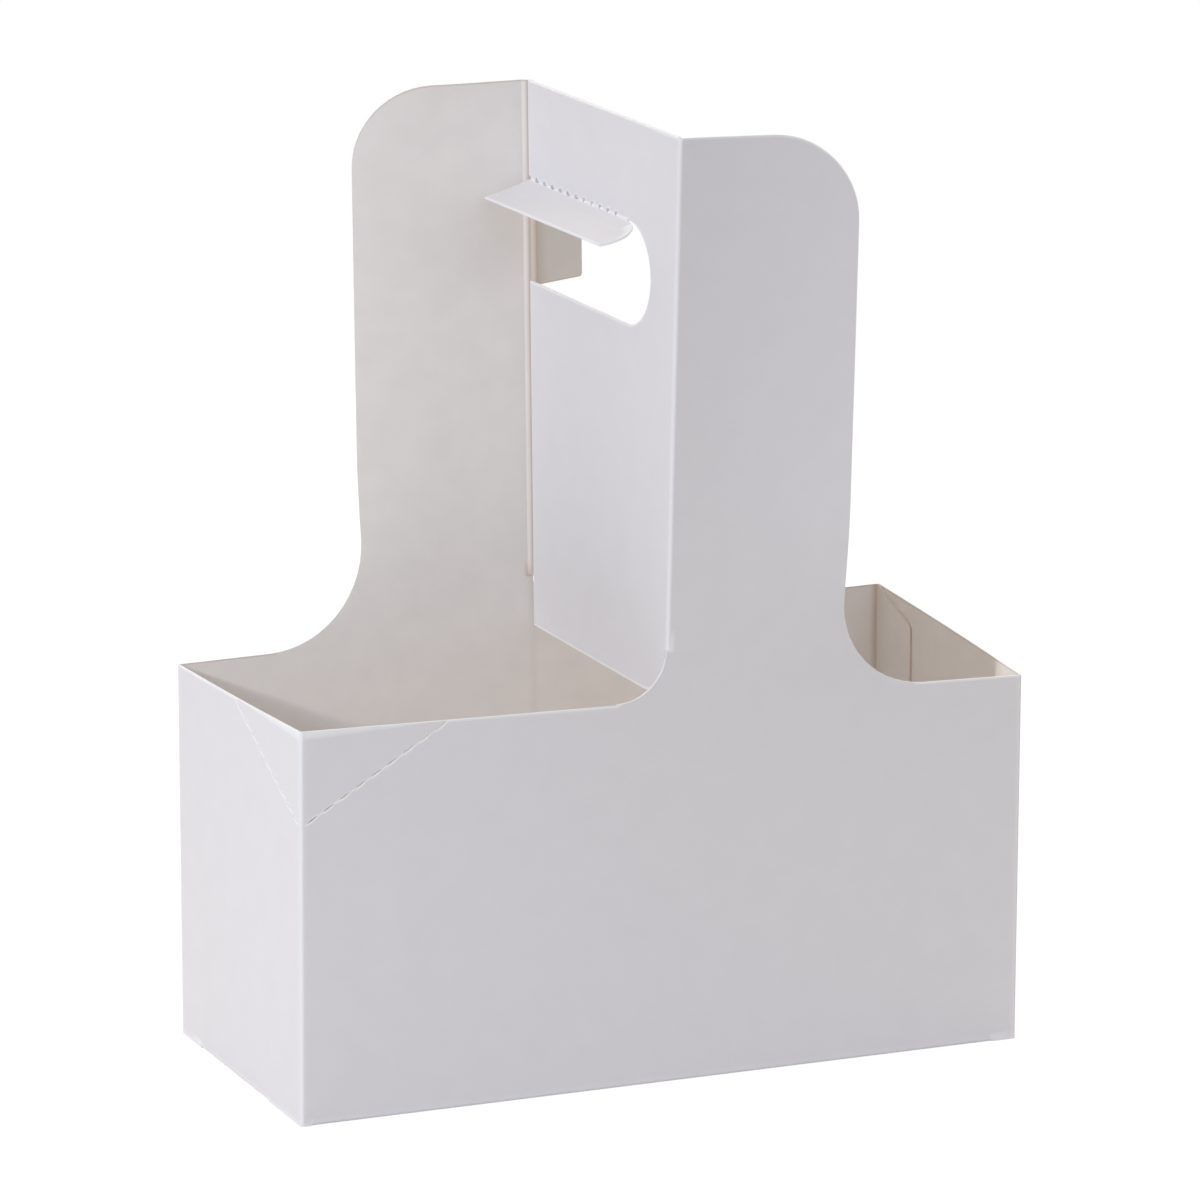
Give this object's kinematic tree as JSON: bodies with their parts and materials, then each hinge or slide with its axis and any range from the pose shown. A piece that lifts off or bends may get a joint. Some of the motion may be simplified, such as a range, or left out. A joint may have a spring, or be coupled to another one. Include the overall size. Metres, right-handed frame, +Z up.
{
  "type": "cup carrier",
  "caption": "Takeaway carrier folded from white paperboard: an open box for cups side by side, and a tall Z-shaped handle with a hand hole between them.",
  "frame": {"origin": "middle of the base, on the surface that the carrier stands on, midway between its ends and between the front wall and the tip of the side tab", "axes": "+X from the left end to the right end, +Y from the front wall to the back wall, +Z up through the handle"},
  "size_m": [0.2, 0.0948, 0.247],
  "materials": {
    "paperboard": "white bleached paperboard, uncoated, soft matte"
  },
  "bodies": {
    "front": {"front_wall": "paperboard", "corner_tab_front": "paperboard"},
    "left_end": {"left_end": "paperboard", "corner_tab_end": "paperboard"},
    "back": {"back_wall": "paperboard"},
    "right_end": {"right_end": "paperboard", "glue_flap": "paperboard"},
    "web": {"web_front_layer": "paperboard", "web_rear_layer": "paperboard"},
    "grip_flap": {"grip_flap": "paperboard"},
    "side_tab": {"side_tab": "paperboard"},
    "bottom_flap_front": {"bottom_flap_front": "paperboard"},
    "bottom_flap_back": {"bottom_flap_back": "paperboard"},
    "bottom_flap_left": {"bottom_flap_left": "paperboard"},
    "bottom_flap_right": {"bottom_flap_right": "paperboard"}
  },
  "joints": [
    {"name": "left_end_fold", "type": "hinge", "parent": "front", "child": "left_end", "pos_m": [-0.1, -0.04744, 0], "axis": [0, 0, 1], "range_deg": [0, 85]},
    {"name": "back_wall_fold", "type": "hinge", "parent": "left_end", "child": "back", "pos_m": [-0.0995, 0.04206, 0], "axis": [0, 0, 1], "range_deg": [-85, 0]},
    {"name": "right_end_fold", "type": "hinge", "parent": "front", "child": "right_end", "pos_m": [0.0995, -0.04694, 0], "axis": [0, 0, 1], "range_deg": [0, 85]},
    {"name": "web_fold", "type": "hinge", "parent": "front", "child": "web", "pos_m": [-0.00065, -0.04744, 0], "axis": [0, 0, 1], "range_deg": [0, 85]},
    {"name": "front_flap_fold", "type": "hinge", "parent": "front", "child": "bottom_flap_front", "pos_m": [0, -0.04694, 0.0005], "axis": [1, 0, 0], "range_deg": [0, 85]},
    {"name": "back_flap_fold", "type": "hinge", "parent": "back", "child": "bottom_flap_back", "pos_m": [0, 0.04206, 0.0005], "axis": [-1, 0, 0], "range_deg": [0, 85]},
    {"name": "left_flap_fold", "type": "hinge", "parent": "left_end", "child": "bottom_flap_left", "pos_m": [-0.0995, 0, 0.0005], "axis": [0, -1, 0], "range_deg": [0, 85]},
    {"name": "right_flap_fold", "type": "hinge", "parent": "right_end", "child": "bottom_flap_right", "pos_m": [0.0995, 0, 0.0005], "axis": [0, 1, 0], "range_deg": [0, 85]},
    {"name": "grip_flap_fold", "type": "hinge", "parent": "web", "child": "grip_flap", "pos_m": [-0.00065, -0.01924, 0.221], "axis": [0, 1, 0], "range_deg": [-67, 108]},
    {"name": "side_tab_fold", "type": "hinge", "parent": "web", "child": "side_tab", "pos_m": [0.00065, 0.04026, 0.2075], "axis": [0, 0, 1], "range_deg": [-110, 50]}
  ],
  "couplings": [
    {"joint": "back_wall_fold", "follows": "left_end_fold", "ratio": -1},
    {"joint": "right_end_fold", "follows": "left_end_fold", "ratio": 1},
    {"joint": "web_fold", "follows": "left_end_fold", "ratio": 1},
    {"joint": "front_flap_fold", "follows": "left_end_fold", "ratio": 1},
    {"joint": "back_flap_fold", "follows": "left_end_fold", "ratio": 1},
    {"joint": "left_flap_fold", "follows": "left_end_fold", "ratio": 1},
    {"joint": "right_flap_fold", "follows": "left_end_fold", "ratio": 1}
  ]
}
